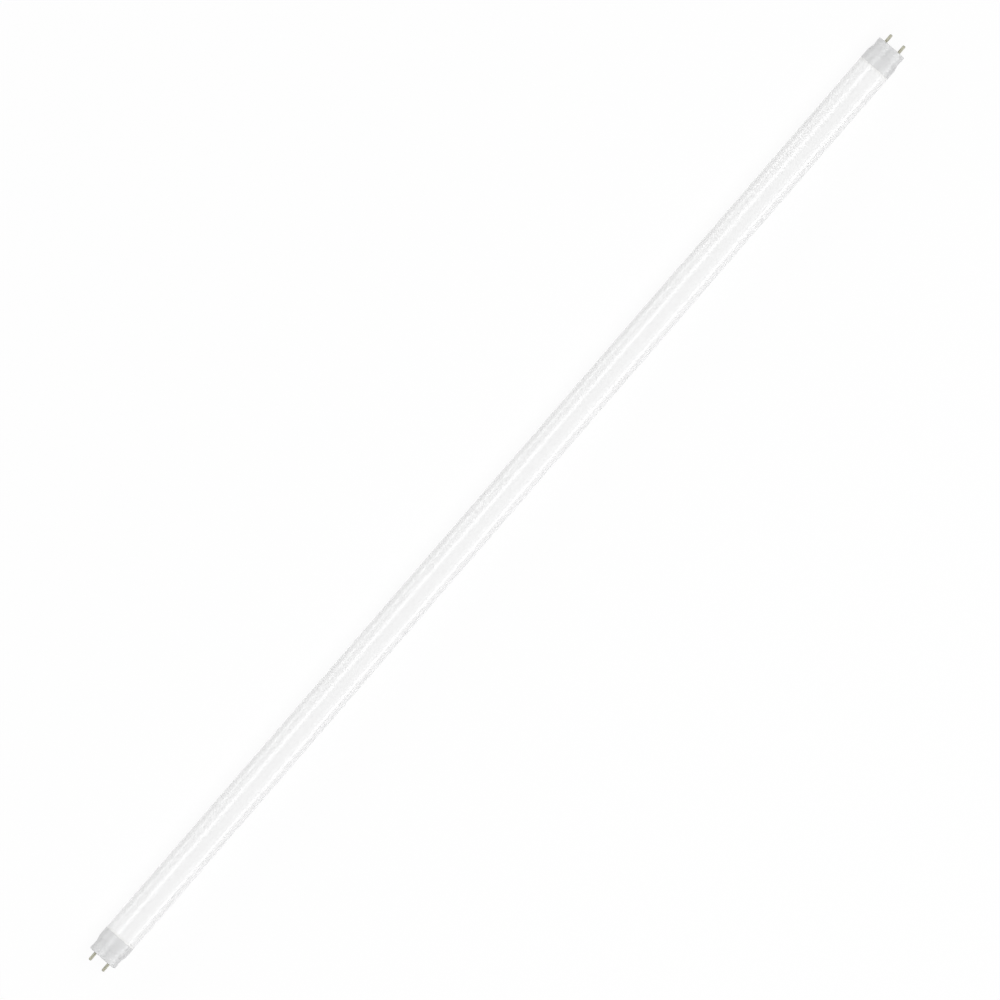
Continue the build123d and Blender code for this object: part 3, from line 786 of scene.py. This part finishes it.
studio = {
    "skyLight": 0.1,
    "floorSize": 40.0,
    "floorWhite": 0.94,  # how much of the floor's look is plain white light
    "floorColour": (0.93, 0.93, 0.93, 1),
    "white": (1, 1, 1, 1),
    "lampDistance": 1.6,
    "lampLength": 4.0,
}
scene = bpy.context.scene
world = bpy.data.worlds.new("paleRoom")
world.use_nodes = True
world.node_tree.nodes.clear()
tree = Tree(world.node_tree)
inputs = {"Color": studio["white"], "Strength": studio["skyLight"]}
sky = tree.node("ShaderNodeBackground", None, inputs)
white = tree.node("ShaderNodeBackground", None, {"Color": studio["white"], "Strength": 1.0})
mixed = tree.node("ShaderNodeMixShader", None, {0: seenByEye(tree), 1: sky, 2: white})
tree.node("ShaderNodeOutputWorld", None, {"Surface": mixed})
scene.world = world

half = studio["floorSize"] / 2
drop = cadBox[0][2]
floorMesh = bpy.data.meshes.new("floor")
floorCorners = [(-half, -half, drop), (half, -half, drop), (half, half, drop), (-half, half, drop)]
floorMesh.from_pydata(floorCorners, [], [(0, 1, 2, 3)])
floor = bpy.data.objects.new("floor", floorMesh)
scene.collection.objects.link(floor)
paper = bpy.data.materials.new("whitePaper")
paper.use_nodes = True
paper.node_tree.nodes.clear()
tree = Tree(paper.node_tree)
matt = tree.node("ShaderNodeBsdfDiffuse", None, {"Color": studio["floorColour"]})
white = tree.node("ShaderNodeEmission", None, {"Color": studio["white"], "Strength": 1.0})
inputs = {0: seenByEye(tree) * studio["floorWhite"], 1: matt, 2: white}
mixed = tree.node("ShaderNodeMixShader", None, inputs)
tree.node("ShaderNodeOutputMaterial", None, {"Surface": mixed})
floorMesh.materials.append(paper)

# Lamps lie along the tube; the angle is from straight above towards the photograph's right.
# A light isn't mirrored in gloss, and a card shows in gloss and gives no other light.
lamps = {
    "leftLight": {"angle": -72, "width": 0.9, "radiance": 1.85, "hidden": "visible_glossy"},
    "topLight": {"angle": 20, "width": 0.9, "radiance": 3.15, "hidden": "visible_glossy"},
    "rightLight": {"angle": 70, "width": 0.9, "radiance": 0.42, "hidden": "visible_glossy"},
    "leftCard": {"angle": -86, "width": 0.35, "radiance": 2.5, "hidden": "visible_diffuse"},
    "topCard": {"angle": -28, "width": 0.5, "radiance": 3.6, "hidden": "visible_diffuse"},
    "highCard": {"angle": 50, "width": 0.5, "radiance": 1.4, "hidden": "visible_diffuse"},
    "rightCard": {"angle": 77, "width": 0.36, "radiance": 4.8, "hidden": "visible_diffuse"},
}
for name, lamp in lamps.items():
    data = bpy.data.lights.new(name, "AREA")
    data.shape = "RECTANGLE"
    data.size = studio["lampLength"]
    data.size_y = lamp["width"]
    data.energy = lamp["radiance"] * math.pi * data.size * data.size_y
    piece = bpy.data.objects.new(name, data)
    lift = Matrix.Translation((0, 0, studio["lampDistance"]))
    piece.matrix_world = Matrix.Rotation(math.radians(lamp["angle"]), 4, "X") @ lift
    piece.visible_camera = False
    setattr(piece, lamp["hidden"], False)
    scene.collection.objects.link(piece)

# Camera: straight down on the tube, turned so that the tube runs up to the right
view = {
    "lens": 900.0,
    "sensor": 36.0,
    "frameWidth": 742.2 * mm,
    "turn": -49.07,
    "aim": (3.1 * mm, -0.2 * mm),
}
data = bpy.data.cameras.new("camera")
data.lens = view["lens"]
data.sensor_width = view["sensor"]
camera = bpy.data.objects.new("camera", data)
camera.location = (*view["aim"], view["frameWidth"] * view["lens"] / view["sensor"])
camera.rotation_euler = (0, 0, math.radians(view["turn"]))
scene.collection.objects.link(camera)
scene.camera = camera
scene.view_settings.view_transform = "Standard"
print("studio, lamps and camera set")
